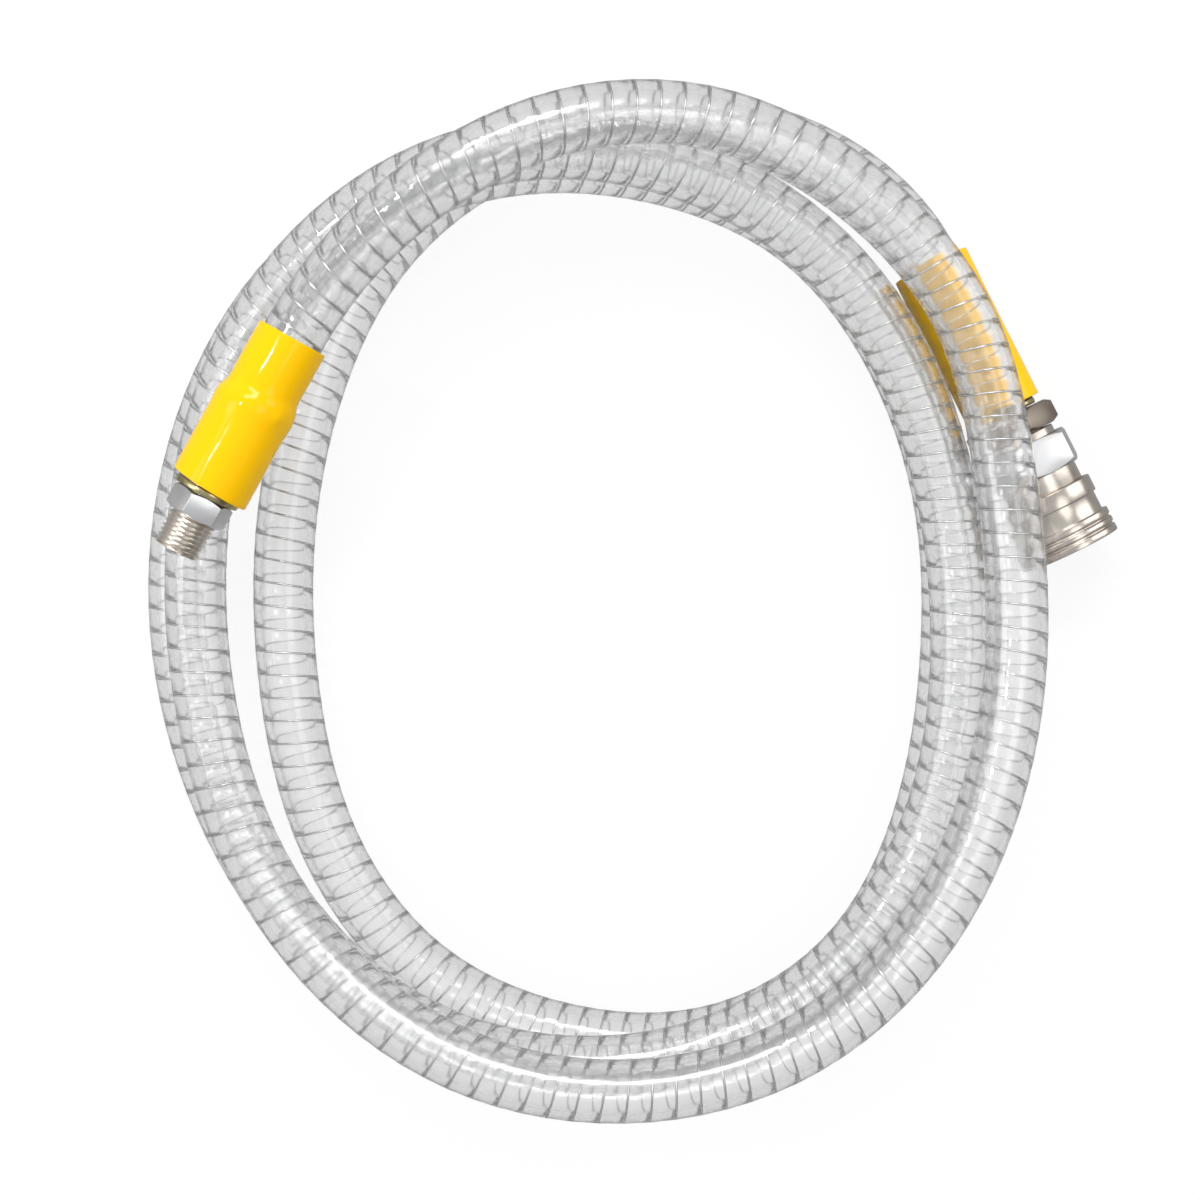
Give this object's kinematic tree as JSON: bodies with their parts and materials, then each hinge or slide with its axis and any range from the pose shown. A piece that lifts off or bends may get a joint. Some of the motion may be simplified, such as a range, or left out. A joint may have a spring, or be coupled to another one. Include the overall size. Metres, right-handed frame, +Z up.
{
  "type": "water hose",
  "caption": "Clear wire-reinforced PVC water hose lying coiled, with a male threaded nipple at one end and a quick coupler at the other, each crimped under a yellow sleeve.",
  "frame": {"origin": "on the floor under the middle of the coil's bounding box", "axes": "+Z up from the floor, +Y towards the top of the picture, +X towards its right, where the coupler lies"},
  "size_m": [0.2752, 0.285, 0.0699],
  "materials": {
    "clear_pvc": "clear, glossy",
    "yellow_pvc": "glossy",
    "nickel_plate": "nickel plated, turned",
    "ferrule_steel": "yellow passivated",
    "spring_steel": "drawn wire",
    "ball_steel": "polished",
    "black_rubber": "matt"
  },
  "bodies": {
    "hose_assembly": {"hose": "clear_pvc", "yellow_sleeve_a": "yellow_pvc", "yellow_sleeve_b": "yellow_pvc", "ferrule_a": "ferrule_steel", "ferrule_b": "ferrule_steel", "nipple_a": "nickel_plate", "nipple_b": "nickel_plate", "coupler_adapter": "nickel_plate", "coupler_body": "nickel_plate", "retaining_ring": "spring_steel", "plug_seal": "black_rubber", "valve_guide": "nickel_plate", "valve_spring": "spring_steel", "sleeve_spring": "spring_steel"},
    "collar": {"sliding_sleeve": "nickel_plate"},
    "shut_off_valve": {"valve": "nickel_plate", "valve_seal": "black_rubber"},
    "ball_1": {"locking_ball_1": "ball_steel"},
    "ball_2": {"locking_ball_2": "ball_steel"},
    "ball_3": {"locking_ball_3": "ball_steel"},
    "ball_4": {"locking_ball_4": "ball_steel"},
    "ball_5": {"locking_ball_5": "ball_steel"},
    "ball_6": {"locking_ball_6": "ball_steel"}
  },
  "joints": [
    {"name": "sleeve_slide", "type": "slide", "parent": "hose_assembly", "child": "collar", "axis": [-0.4472, 0.8944, 0], "range_m": [0, 0.0032], "stiffness_N_per_m": 600, "springref_m": -0.004, "deforming": ["sleeve_spring"]},
    {"name": "valve_push", "type": "slide", "parent": "hose_assembly", "child": "shut_off_valve", "axis": [-0.4472, 0.8944, 0], "range_m": [0, 0.002], "stiffness_N_per_m": 400, "springref_m": -0.003, "deforming": ["valve_spring"]},
    {"name": "ball_1_lift", "type": "slide", "parent": "hose_assembly", "child": "ball_1", "axis": [0.8944, 0.4472, 0], "range_m": [0, 0.00135]},
    {"name": "ball_2_lift", "type": "slide", "parent": "hose_assembly", "child": "ball_2", "axis": [0.4472, 0.2236, 0.866], "range_m": [0, 0.00135]},
    {"name": "ball_3_lift", "type": "slide", "parent": "hose_assembly", "child": "ball_3", "axis": [-0.4472, -0.2236, 0.866], "range_m": [0, 0.00135]},
    {"name": "ball_4_lift", "type": "slide", "parent": "hose_assembly", "child": "ball_4", "axis": [-0.8944, -0.4472, 0], "range_m": [0, 0.00135]},
    {"name": "ball_5_lift", "type": "slide", "parent": "hose_assembly", "child": "ball_5", "axis": [-0.4472, -0.2236, -0.866], "range_m": [0, 0.00135]},
    {"name": "ball_6_lift", "type": "slide", "parent": "hose_assembly", "child": "ball_6", "axis": [0.4472, 0.2236, -0.866], "range_m": [0, 0.00135]}
  ],
  "couplings": [
    {"joint": "ball_1_lift", "follows": "sleeve_slide", "ratio": 0.42},
    {"joint": "ball_2_lift", "follows": "sleeve_slide", "ratio": 0.42},
    {"joint": "ball_3_lift", "follows": "sleeve_slide", "ratio": 0.42},
    {"joint": "ball_4_lift", "follows": "sleeve_slide", "ratio": 0.42},
    {"joint": "ball_5_lift", "follows": "sleeve_slide", "ratio": 0.42},
    {"joint": "ball_6_lift", "follows": "sleeve_slide", "ratio": 0.42}
  ]
}
